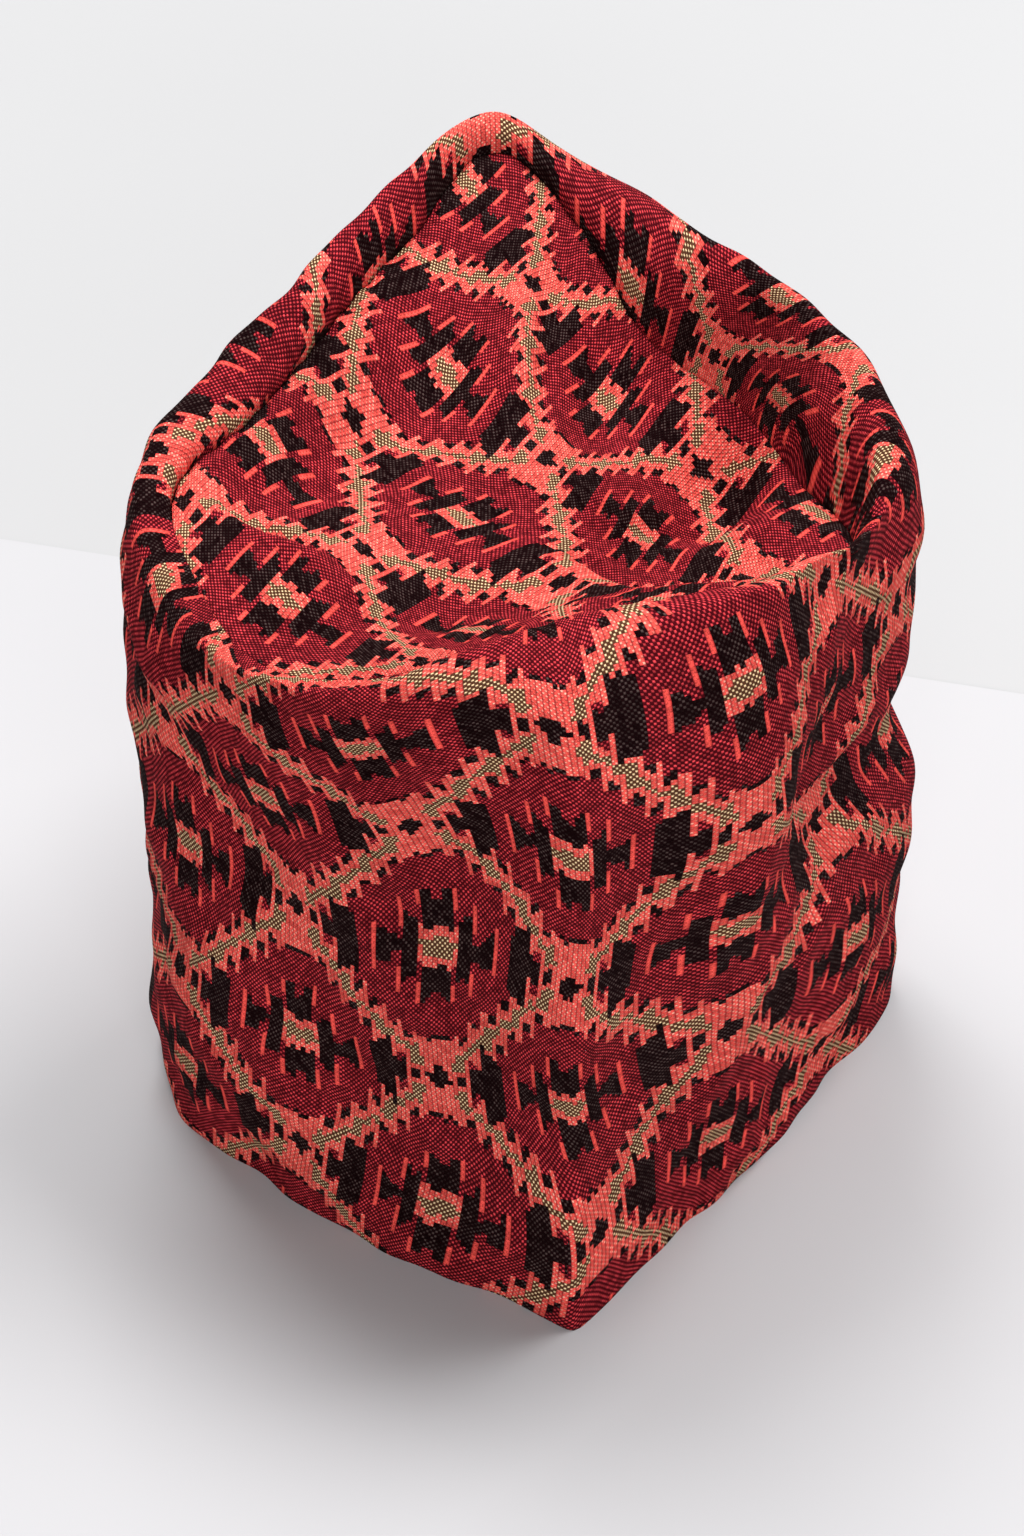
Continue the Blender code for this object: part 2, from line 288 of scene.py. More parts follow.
# The steps beside the stripe, as shares of a repeat; where a spike or dash lies in a step, as shares of it
STEP = 0.055
STEP_TOP = 0.405
SPIKE = 0.042
SPIKE_MIDDLE = 0.22
SPIKE_HALF_WIDTH = 0.30
DASH = 0.028
DASH_REACH = (0.050, 0.270)
DASH_SHARE = (0.45, 0.98)

# Straight-sided shapes in a quarter of a diamond, as shares of a repeat: x across, y up
PATCHES = {
    # name: inner x, outer x, foot, top at the inner x, slope of the top
    "knot": (0.0, 0.055, 0.0, 0.156, 0.0),
    "knot bar": (0.0, 0.050, 0.156, 0.172, 0.0),
    "flank": (0.404, 0.438, 0.0, 0.028, 0.0),
    "axe blade": (0.260, 0.332, 0.0, 0.104, 0.60),
    "axe lobe": (0.330, 0.388, 0.0, 0.036, 0.32),
    "heart": (0.0, 0.066, 0.0, 0.063, 0.0),
    "block": (0.0, 0.053, 0.063, 0.190, 0.0),
    "notch": (0.0, 0.014, 0.160, 0.190, 0.0),
    "bar": (0.066, 0.120, 0.0, 0.090, 0.65),
    "wing": (0.120, 0.193, 0.0, 0.020, 0.62),
    "inner line": (0.053, 0.066, 0.130, 0.200, 0.0),
    "middle line": (0.120, 0.133, 0.062, 0.148, 0.0),
    "outer line": (0.193, 0.206, 0.0, 0.078, 0.0),
}

# Slanting shapes: half width and half height
KNOT_HEART = (0.044, 0.052)
HEART_DOTS = (0.066, 0.058)
HEART_DOTS_TOP = 0.032

# Colours of the yarns. CORAL_LIGHT, PINK, CREAM and CREAM_DIM are also painted highlights on the threads'
# round backs, and CORAL_DEEP is also painted shade between the coral ribs
CORAL = (0.800, 0.082, 0.066, 1.0)
CORAL_DEEP = (0.270, 0.014, 0.017, 1.0)
CORAL_LIGHT = (0.940, 0.470, 0.345, 1.0)
CREAM = (0.950, 0.690, 0.390, 1.0)
CREAM_DIM = (0.160, 0.110, 0.100, 1.0)
PINK = (0.700, 0.054, 0.066, 1.0)
MAROON = (0.054, 0.002, 0.005, 1.0)
BLACK = (0.0060, 0.0010, 0.0015, 1.0)
OLIVE = (0.075, 0.026, 0.013, 1.0)

# How strongly the lighter yarn and the painted highlight on the threads' round backs show, and for CORAL_RIB
# how the painted shade between the coral ribs gives way to coral: start and gain over a number from 0 to 1
FIELD_SHINE = (0.55, 0.70)
CORAL_RIB = (0.10, 0.90)
CORAL_SHINE = (0.10, 0.75)
BLACK_SHINE = 0.45
CORAL_BEAD_SHARPNESS = 1.5
STRIPE_BEAD_SHARPNESS = 1.6

# Lighter and darker cloth, in the same way, and how much of the wrong side is bare coral yarn
TONE_PATCH_SCALE = 26.0
TONE_PATCH_DETAIL = 4.0
TONE_PATCHES = (0.76, 0.48)
GRAIN = (0.85, 0.40)
WRONG_SIDE = (0.45, 0.25)

# Relief and finish of the cloth
STITCH_RELIEF = 0.35
RELIEF_STRENGTH = 0.80
RELIEF_HEIGHT = 0.0005
CLOTH_FINISH = {
    "Roughness": 0.85,
    "Sheen Weight": 0.010,
    "Sheen Roughness": 0.45,
    "Sheen Tint": (1.0, 0.35, 0.32, 1.0),
    "Specular IOR Level": 0.02,
}

# Ground, and the faint unevenness of its colour
FLOOR_CORNERS = ((-4.0, -4.0), (4.0, -4.0), (4.0, 4.0), (-4.0, 4.0))
CARD_CORNERS = ((-3.0, -3.0), (3.0, -3.0), (3.0, -0.5424), (-3.0, 0.8616))
GROUND = (
    # name, material, colour, roughness, height, corners
    ("floor", "white_floor", (0.435, 0.435, 0.440, 1.0), 0.7, -0.0004, FLOOR_CORNERS),
    ("card", "pale_card", (0.465, 0.462, 0.474, 1.0), 0.6, 0.0, CARD_CORNERS),
)
STAGE_DARKER = 0.96
STAGE_CLOUDS = 5.0
STAGE_SPECULAR = 0.1

# Lights
WORLD_STRENGTH = 0.24
LIGHTS = (
    # name, place, aim, size, power
    ("key", (-0.30, 0.85, 2.05), (0.0, 0.0, 0.10), 0.9, 45.0),
    ("top", (0.70, 0.45, 2.15), (0.1, 0.0, 0.10), 0.9, 44.0),
    ("front", (0.20, -2.20, 0.90), (0.0, 0.0, 0.08), 1.3, 34.0),
)

# Camera: its place, how many degrees it looks down, and its lens and film height in millimetres
EYE = (-0.0041, -1.0069, 0.9933)
EYE_DROP = 42.0
LENS = 126.56
FILM = 36.0


def curve(knots, values, at):
    """A smooth curve through the points (knots, values); the first and last point only steer its ends."""
    slopes = (values[2:] - values[:-2]) / (knots[2:] - knots[:-2])
    left = np.searchsorted(knots, at, side="right") - 2
    left = np.clip(left, 0, len(slopes) - 2)
    span = knots[left + 2] - knots[left + 1]
    rise = values[left + 2] - values[left + 1]
    share = (at - knots[left + 1]) / span
    start = slopes[left] * span - rise
    end = rise - slopes[left + 1] * span
    bend = share * (1 - share) * (start * (1 - share) + end * share)
    return values[left + 1] + share * rise + bend


def smooth_step(share):
    """0 below 0 and 1 above 1, with an easy S between them."""
    share = np.clip(share, 0, 1)
    return share * share * (3 - 2 * share)


def top_value(column, facing):
    """One column of the TOP table as a smooth closed curve round the cap."""
    place_in_row = TOP_COLUMNS.index(column)
    rows = sorted(TOP, key=lambda row: row[1])
    knots = np.array([row[1] for row in rows])
    values = np.array([row[place_in_row] for row in rows])
    knots = np.concatenate((knots[-2:] - 360, knots, knots[:2] + 360))
    values = np.concatenate((values[-2:], values, values[:2]))
    return curve(knots, values, np.mod(facing, 360))


def side_distance(shares, level):
    """How far out one side stands at a level, as a smooth curve through its four columns."""
    lowest = 2 * SIDE_LEVELS[0] - SIDE_LEVELS[1]
    highest = 2 * SIDE_LEVELS[-1] - SIDE_LEVELS[-2]
    knots = np.array((lowest,) + SIDE_LEVELS + (highest,))
    values = np.array((shares[0],) + tuple(shares) + (shares[-1],))
    return curve(knots, values, level) * HEAD_RADIUS


def turned_from(facing, centre):
    """Degrees from one facing to another, the short way round."""
    return np.mod(facing - centre + 180, 360) - 180


def wall_reach(facing, level, inset):
    """Reach of the upright wall: a polygon of the SIDES, moved in by inset, with softened corners.

    Each side asks for cos(turn) / distance; a power mean of these, taken to minus one, is the reach. A
    high power keeps a corner sharp, as along the front crease, which fades towards the top.
    """
    crease = np.exp(-((turned_from(facing, FRONT_CORNER) / CREASE_SPREAD) ** 2))
    fade = np.clip(1 - level / CREASE_TOP, 0, 1)
    power = SOFT_EDGE + (CREASE_EDGE - SOFT_EDGE) * crease * fade
    total = 0.0
    for name, side_facing, *shares in SIDES:
        distance = side_distance(shares, level) - inset
        lean = np.maximum(np.cos(np.radians(facing - side_facing)), 0)
        total = total + (lean / distance) ** power
    return total ** (-1 / power)


def wall_folds(facing, level):
    """How far all folds and creases push the wall out: a soft oval bump or hollow for each row."""
    push = 0.0
    for name, centre, height, spread, rise, depth, slant in WALL_FOLDS + WALL_CREASES:
        turn = turned_from(facing, centre + slant * (level - height)) / spread
        climb = (level - height) / rise
        push = push + depth * HEAD_RADIUS * np.exp(-(turn**2) - climb**2)
    return push


def ripples(facing, level):
    """Soft waves of the cloth: a sum of sines round and up the cap."""
    push = 0.0
    for around, up, phase, share in RIPPLES:
        push = push + share * np.sin(np.radians(facing) * around + 2 * math.pi * up * level + phase)
    return push * RIPPLE


def sewn(facing):
    """1 where the crown seam shows as a groove, 0 along the stretch where it lies flush."""
    away = abs(turned_from(facing, FLUSH_FACING)) / FLUSH_SPREAD
    return smooth_step((away - 0.8) / 0.4)


def groove_share(facing):
    """How sharply the roll drops into the seam: as sewn, but soft on the right and back right."""
    away = turned_from(facing, SOFT_SEAM_FACING) / SOFT_SEAM_SPREAD
    return sewn(facing) * (1 - SOFT_SEAM * np.exp(-(away**4)))


def puckers(facing):
    """Small pulls of the seam stitching: waves along the seam with an uneven height."""
    angle = np.radians(facing)
    uneven = 0.6 + 0.4 * np.sin(5 * angle + 1.0) * np.sin(11 * angle)
    return np.sin(PUCKERS * angle + 1.5 * np.sin(4 * angle)) * uneven


def wall_profile(facing, stage, inset):
    """Reach and height of the wall's face at a stage of its way from the rim to the crown seam.

    Stage 0 to 1 climbs the wall, 1 to 2 is a quarter of an oval in to the crest, 2 to 3 another quarter
    down to the seam, or an easy S where the seam lies flush, and 3 to 4 the short lap below it.
    """
    shoulder = top_value("shoulder", facing)
    level = np.minimum(stage, 1) * shoulder
    crest_reach = top_value("crest_reach", facing) * HEAD_RADIUS
    crest_height = top_value("crest_height", facing) * HEIGHT - inset
    seam_reach = top_value("seam_reach", facing) * HEAD_RADIUS + inset
    seam_height = top_value("seam_height", facing) * HEIGHT - inset
    turn_in = np.clip(stage - 1, 0, 1) * math.pi / 2
    down = np.clip(stage - 2, 0, 1)
    turn_down = down * math.pi / 2
    upright = wall_reach(facing, level, inset)
    height = level * HEIGHT + (crest_height - shoulder * HEIGHT) * np.sin(turn_in)
    reach = crest_reach + (upright - crest_reach) * np.cos(turn_in)
    past_crest = stage > 2
    groove = groove_share(facing)
    drop = groove * (1 - np.cos(turn_down)) + (1 - groove) * smooth_step(down)
    inward = groove * np.sin(turn_down) + (1 - groove) * down
    height = np.where(past_crest, crest_height - (crest_height - seam_height) * drop, height)
    reach = np.where(past_crest, crest_reach + (seam_reach - crest_reach) * inward, reach)
    level = height / HEIGHT
    reach = reach + (wall_folds(facing, level) + ripples(facing, level)) * np.cos(turn_down)
    height = height + PUCKER_DEPTH * groove * puckers(facing) * down * np.clip(4 - stage, 0, 1)
    lap_foot = top_value("seam_height", facing) * HEIGHT - SEAM_LAP
    height = height + (lap_foot - seam_height) * np.clip(stage - 3, 0, 1)
    return reach, height


def place(facing, reach, height):
    """Points from facing, reach and height."""
    angle = np.radians(facing)
    return np.stack((reach * np.cos(angle), reach * np.sin(angle), height), axis=-1)


def crown_top(facing, ring):
    """The crown's upper face: ring is 0 in the middle and 1 at the seam.

    It falls from the seam to the middle with the square of ring. The folds and creases of the tables,
    which fade out at the seam, raise or lower it, and it dips and puckers close to the sewn seam.
    """
    groove = groove_share(facing)
    seam_reach = top_value("seam_reach", facing) * HEAD_RADIUS - SEAM_GAP * groove
    reach = seam_reach * ring
    seam_height = top_value("seam_height", facing) * HEIGHT
    points = place(facing, reach, CROWN_MIDDLE * HEIGHT + (seam_height - CROWN_MIDDLE * HEIGHT) * ring**2)
    hold = 1 - ring**6
    for name, x, y, heading, along, across, rise in CROWN_FOLDS + CROWN_CREASES:
        from_x = points[..., 0] / HEAD_RADIUS - x
        from_y = points[..., 1] / HEAD_RADIUS - y
        way = math.radians(heading)
        forward = (from_x * math.cos(way) + from_y * math.sin(way)) / along
        sideways = (from_y * math.cos(way) - from_x * math.sin(way)) / across
        points[..., 2] += rise * HEIGHT * np.exp(-(forward**2) - sideways**2) * hold
    from_seam = seam_reach * (1 - ring)
    points[..., 2] -= SEAM_GROOVE * groove * np.exp(-((from_seam / GROOVE_WIDTH) ** 2))
    pulled = PUCKER_DEPTH * groove * puckers(facing) * np.exp(-((from_seam / PUCKER_REACH) ** 2))
    points[..., 2] += pulled * smooth_step(ring)
    points[..., 2] += ripples(facing, ring * 0.5) * hold * ring
    return points


def square_rings(steps):
    """Facing and ring of a square grid laid on the crown, its outer ring on the wall's own facings."""
    line = np.linspace(-1, 1, steps + 1)
    across, back = np.meshgrid(line, line)
    ring = np.maximum(abs(across), abs(back))
    safe = np.maximum(ring, 1 / steps)
    right = across >= abs(back)
    left = -across >= abs(back)
    behind = (back > 0) & ~right & ~left
    facing = np.where(behind, 90 - 45 * across / safe, 270 + 45 * across / safe)
    facing = np.where(left, 180 - 45 * back / safe, facing)
    facing = np.where(right, 45 * back / safe, facing)
    return facing + FRONT_CORNER + 45, ring


def wall_stages(rows):
    """Stages of the wall's rows, from the rim to the foot of the lap."""
    climb = np.linspace(0, 1, rows[0], endpoint=False)
    turn_in = np.linspace(1, 2, rows[1], endpoint=False)
    turn_down = np.linspace(2, 3, rows[2], endpoint=False)
    return np.concatenate((climb, turn_in, turn_down, (3.0, 4.0)))


def wall_face(stages, inset):
    """Points of one face of the wall, one row for each stage; the last column repeats the first."""
    facings = FRONT_CORNER + np.arange(AROUND_STEPS + 1) * 360 / AROUND_STEPS
    facing, stage = np.meshgrid(facings, stages)
    reach, height = wall_profile(facing, stage, inset)
    return facing, place(facing, reach, height)


def way_along(points, axis):
    """Length walked along an axis of a grid of points, from its first point."""
    steps = np.linalg.norm(np.diff(points, axis=axis), axis=-1)
    start = np.zeros_like(np.take(steps, [0], axis=axis))
    return np.concatenate((start, np.cumsum(steps, axis=axis)), axis=axis)


def hills(distance, spread):
    """A soft hill for each distance in metres, 1 at none."""
    return np.exp(-((distance / spread) ** 2))


def fit_places(spots, misfit, apart, at, spread):
    """What to add to a plain lattice so that it passes through the given spots.

    One soft hill stands on each spot, and the hills' heights are solved so that their sum is the misfit
    at every spot. It dies away further off.
    """
    heights = np.linalg.solve(hills(apart(spots[:, None], spots[None]), spread), misfit)
    return hills(apart(at[..., None, :], spots), spread) @ heights


def wall_lattice(facing, points):
    """Where each point of a face of the wall lies in the cloth's lattice, in half repeats.

    The plain lattice is the way walked round the middle of the wall and the way walked up from the rim.
    It is bent first through the spots on the outside, then through those past the crest.
    """
    middle = len(points) // 2
    girth = way_along(points[middle : middle + 1], 1)[0]
    round_length = girth[-1]
    start = np.interp(LATTICE_FACING, facing[0], girth)
    around = np.broadcast_to(girth, facing.shape)
    up = way_along(points, 0)
    plain = np.stack(
        (
            (around - start) * HALF_REPEATS_ROUND / round_length,
            (up - LATTICE_LEVEL * HEIGHT) / (REPEAT_HEIGHT / 2),
        ),
        axis=-1,
    )
    at = np.stack((around, up), axis=-1)

    def apart(one, other):
        gap = abs(one - other)
        gap_round = np.minimum(gap[..., 0], round_length - gap[..., 0])
        return np.hypot(gap_round, gap[..., 1])

    lattice = plain
    tables = ((WALL_PLACES, False, LATTICE_SPREAD), (ROLL_PLACES, True, ROLL_LATTICE_SPREAD))
    for places, past_crest, spread in tables:
        spots = []
        misfit = []
        for across, rows_up, spot_facing, spot_height in places:
            column = int(round(np.mod(spot_facing - FRONT_CORNER, 360) / 360 * AROUND_STEPS))
            top = int(np.argmax(points[:, column, 2]))
            first, last = (top, len(points)) if past_crest else (0, top)
            row = first + int(np.argmin(abs(points[first:last, column, 2] - spot_height * HEIGHT)))
            spots.append(at[row, column])
            turns = round((plain[row, column, 0] - across) / HALF_REPEATS_ROUND)
            misfit.append((across + turns * HALF_REPEATS_ROUND, rows_up) - lattice[row, column])
        lattice = lattice + fit_places(np.array(spots), np.array(misfit), apart, at, spread)
    return lattice


def crown_lattice(points):
    """Where each point of the crown lies in its cloth's lattice, in half repeats.

    A plane lattice is fitted to the given spots, then bent to pass through them.
    """
    spots = np.array([row[2:] for row in CROWN_PLACES]) * HEAD_RADIUS
    aims = np.array([row[:2] for row in CROWN_PLACES], dtype=float)
    plane = np.linalg.lstsq(np.column_stack((spots, np.ones(len(spots)))), aims, rcond=None)[0]
    misfit = aims - (spots @ plane[:2] + plane[2])

    def apart(one, other):
        return np.linalg.norm(one - other, axis=-1)

    at = points[..., :2]
    return at @ plane[:2] + plane[2] + fit_places(spots, misfit, apart, at, CROWN_LATTICE_SPREAD)


def grid_faces(rows, columns, first=0):
    """Quads between the points of a grid, counted row by row."""
    row, column = np.meshgrid(np.arange(rows - 1), np.arange(columns - 1), indexing="ij")
    corner = first + row * columns + column
    return np.stack((corner, corner + 1, corner + columns + 1, corner + columns), axis=-1).reshape(-1, 4)


def add_piece(name, points, faces, lattice, materials, which):
    """One smooth piece from points and quads; lattice is the cloth map at each corner of each quad."""
    mesh = bpy.data.meshes.new(name)
    mesh.vertices.add(len(points))
    mesh.vertices.foreach_set("co", points.astype(np.float32).ravel())
    mesh.loops.add(faces.size)
    mesh.loops.foreach_set("vertex_index", faces.astype(np.int32).ravel())
    mesh.polygons.add(len(faces))
    mesh.polygons.foreach_set("loop_start", np.arange(len(faces), dtype=np.int32) * faces.shape[1])
    for material in materials:
        mesh.materials.append(material)
    mesh.polygons.foreach_set("material_index", which.astype(np.int32))
    if lattice is not None:
        cloth_map = mesh.uv_layers.new(name="cloth_map")
        cloth_map.data.foreach_set("uv", (lattice / 2).astype(np.float32).ravel())
    mesh.update(calc_edges=True)
    mesh.validate()
    mesh.shade_smooth()
    piece = bpy.data.objects.new(name, mesh)
    bpy.context.scene.collection.objects.link(piece)
    return piece


class Draft:
    """The weaving draft of a cloth. Each method adds sums to the material and gives their result.

    A mask is 1 inside a shape and 0 outside it.
    """

    def __init__(self, tree):
        self.tree = tree

    def feed(self, socket, value):
        """Puts a number, a colour or another sum's result into a socket."""
        if isinstance(value, bpy.types.NodeSocket):
            self.tree.links.new(value, socket)
        else:
            socket.default_value = value

    def calc(self, operation, *values):
        """One sum of the named kind."""
        node = self.tree.nodes.new("ShaderNodeMath")
        node.operation = operation
        for socket, value in zip(node.inputs, values):
            self.feed(socket, value)
        return node.outputs[0]

    def add(self, one, other):
        return self.calc("ADD", one, other)

    def take(self, one, other):
        return self.calc("SUBTRACT", one, other)

    def times(self, one, other):
        return self.calc("MULTIPLY", one, other)

    def below(self, one, other):
        return self.calc("LESS_THAN", one, other)

    def above(self, one, other):
        return self.calc("GREATER_THAN", one, other)

    def whole(self, value):
        return self.calc("FLOOR", value)

    def part(self, value):
        """What is left of a number without its whole part."""
        return self.calc("FRACT", value)

    def size(self, value):
        """A number without its sign."""
        return self.calc("ABSOLUTE", value)

    def both(self, *masks):
        """Where all the masks are 1."""
        result = masks[0]
        for mask in masks[1:]:
            result = self.times(result, mask)
        return result

    def either(self, *masks):
        """Where one of the masks is 1."""
        result = masks[0]
        for mask in masks[1:]:
            result = self.calc("MAXIMUM", result, mask)
        return result

    def but(self, mask, hole):
        """A mask without the part that a second mask covers."""
        return self.times(mask, self.take(1.0, hole))

    def between(self, value, low, high):
        return self.both(self.above(value, low), self.below(value, high))

    def choose(self, mask, if_zero, if_one):
        """One of two numbers by a mask."""
        return self.add(if_zero, self.times(mask, self.take(if_one, if_zero)))

    def ramp(self, value, line):
        """start + gain * value, for a line of start and gain."""
        start, gain = line
        return self.add(start, self.times(value, gain))

    def dome(self, share):
        """4 * share * (1 - share): a thread's round back over its width."""
        return self.times(self.times(share, self.take(1.0, share)), 4.0)

    def bead(self, warp, weft):
        """Round backs of the threads that show, in a quincunx of half threads. They shape the relief, and
        the painted highlights of the cloth's colour.
        """
        half_warp = self.times(warp, 2.0)
        half_weft = self.times(weft, 2.0)
        shows = self.calc("PINGPONG", self.add(self.whole(half_warp), self.whole(half_weft)), 1.0)
        back = self.times(self.dome(self.part(half_warp)), self.dome(self.part(half_weft)))
        return self.times(shows, self.calc("POWER", back, BEAD_ROUNDNESS))

    def chance(self, one, other):
        """A number from 0 to 1 drawn by lot for each pair of whole numbers."""
        pair = self.tree.nodes.new("ShaderNodeCombineXYZ")
        self.feed(pair.inputs[0], one)
        self.feed(pair.inputs[1], other)
        lot = self.tree.nodes.new("ShaderNodeTexWhiteNoise")
        lot.noise_dimensions = "2D"
        self.feed(lot.inputs["Vector"], pair.outputs[0])
        return lot.outputs["Value"]

    def clouds(self, scale):
        """Soft clouds from 0 to 1 through the object's own space."""
        coordinates = self.tree.nodes.new("ShaderNodeTexCoord")
        noise = self.tree.nodes.new("ShaderNodeTexNoise")
        noise.inputs["Scale"].default_value = scale
        self.feed(noise.inputs["Vector"], coordinates.outputs["Object"])
        return noise

    def mix_colours(self, mask, under, over):
        """The colour over where the mask is 1 and the colour under where it is 0."""
        node = self.tree.nodes.new("ShaderNodeMix")
        node.data_type = "RGBA"
        self.feed(node.inputs[0], mask)
        self.feed(node.inputs[6], under)
        self.feed(node.inputs[7], over)
        return node.outputs[2]

    def patch(self, across, up, name):
        """Mask of a row of PATCHES: inner < across < outer, foot < up < top + slope * (across - inner)."""
        inner, outer, foot, top, slope = PATCHES[name]
        if slope > 0:
            top = self.ramp(self.take(across, inner), (top, slope))
        masks = [self.below(across, outer), self.below(up, top)]
        if inner > 0:
            masks.append(self.above(across, inner))
        if foot > 0:
            masks.append(self.above(up, foot))
        return self.both(*masks)

    def lozenge(self, across, up, half_sizes):
        """Mask of a diamond: across / half width + up / half height < 1."""
        half_width, half_height = half_sizes
        return self.below(self.add(self.times(across, 1 / half_width), self.times(up, 1 / half_height)), 1.0)


def quarter_diamond(d, warp_thread, weft_thread):
    """Place of each crossing of threads in a quarter of a diamond: x across and y up from its middle.

    Both are folded to lie between 0 and half a repeat. Past the edge x + y = 0.5 they count from the next
    diamond's middle. Each warp thread ends its colours a little higher or lower than its neighbours.
    """
    bundle = d.whole(d.times(weft_thread, BUNDLES_PER_THREAD))
    ragged = d.times(d.take(d.chance(warp_thread, bundle), 0.5), RAGGED)
    u = d.times(d.add(warp_thread, 0.5), 1.0 / WARP_THREADS)
    v = d.add(d.times(d.add(weft_thread, 0.5), 1.0 / WEFT_THREADS), ragged)
    a = d.size(d.take(d.part(d.add(u, 0.5)), 0.5))
    b = d.size(d.take(d.part(d.add(v, 0.5)), 0.5))
    next_one = d.above(d.add(a, b), 0.5)
    return d.choose(next_one, a, d.take(0.5, a)), d.choose(next_one, b, d.take(0.5, b))


def stripe_shape(d, x, y):
    """Stripe along the diamond's edge, with a thicker block at every BLOCK_STEP of x."""
    from_edge = d.take(0.5, d.add(x, y))
    blocks_along = d.times(d.take(x, BLOCK_START), 1 / BLOCK_STEP)
    past_block = d.times(d.take(d.part(blocks_along), 0.5), BLOCK_STEP)
    block_wide = d.below(d.size(past_block), BLOCK_HALF_WIDTH)
    block_tall = d.below(d.size(d.add(from_edge, past_block)), BLOCK_HALF_HEIGHT)
    return d.either(d.below(from_edge, STRIPE_HALF_WIDTH), d.both(block_wide, block_tall))


def coral_steps(d, x, y):
    """Coral steps beside the stripe, each with a pointed spike, and a black dash in each inner corner."""
    steps_along = d.times(x, 1 / STEP)
    share = d.part(steps_along)
    level = d.take(STEP_TOP, d.times(d.whole(steps_along), STEP))
    from_spike = d.size(d.take(share, SPIKE_MIDDLE))
    tooth = d.calc("MAXIMUM", d.take(1.0, d.times(from_spike, 1 / SPIKE_HALF_WIDTH)), 0.0)
    coral = d.above(y, d.take(level, d.times(tooth, SPIKE)))
    dashed = d.both(d.between(x, *DASH_REACH), d.between(share, *DASH_SHARE))
    return coral, d.both(dashed, d.between(y, d.take(level, DASH), level))


def pattern_parts(d, x, y):
    """Masks of the pattern's coral, outlines, stripe and black. What is left is the field."""
    coral, dash = coral_steps(d, x, y)
    knot_x = d.calc("MINIMUM", x, d.take(0.5, x))
    knot_y = d.choose(d.above(x, 0.25), d.take(0.5, y), y)
    knot = d.patch(knot_x, knot_y, "knot")
    knot_heart = d.lozenge(knot_x, knot_y, KNOT_HEART)
    knot_bar = d.patch(knot_x, knot_y, "knot bar")
    side = d.either(d.patch(x, y, "flank"), d.patch(x, y, "axe blade"), d.patch(x, y, "axe lobe"))
    block = d.but(d.patch(x, y, "block"), d.patch(x, y, "notch"))
    medallion = d.either(block, d.patch(x, y, "bar"), d.patch(x, y, "wing"))
    heart_dots = d.both(d.lozenge(x, y, HEART_DOTS), d.below(y, HEART_DOTS_TOP))
    lines = d.either(d.patch(x, y, "inner line"), d.patch(x, y, "middle line"), d.patch(x, y, "outer line"))
    stripe_part = d.but(d.either(stripe_shape(d, x, y), heart_dots), knot)
    black_part = d.but(d.either(dash, knot_heart, knot_bar, side, medallion), stripe_part)
    return d.either(coral, knot, d.patch(x, y, "heart")), lines, stripe_part, black_part


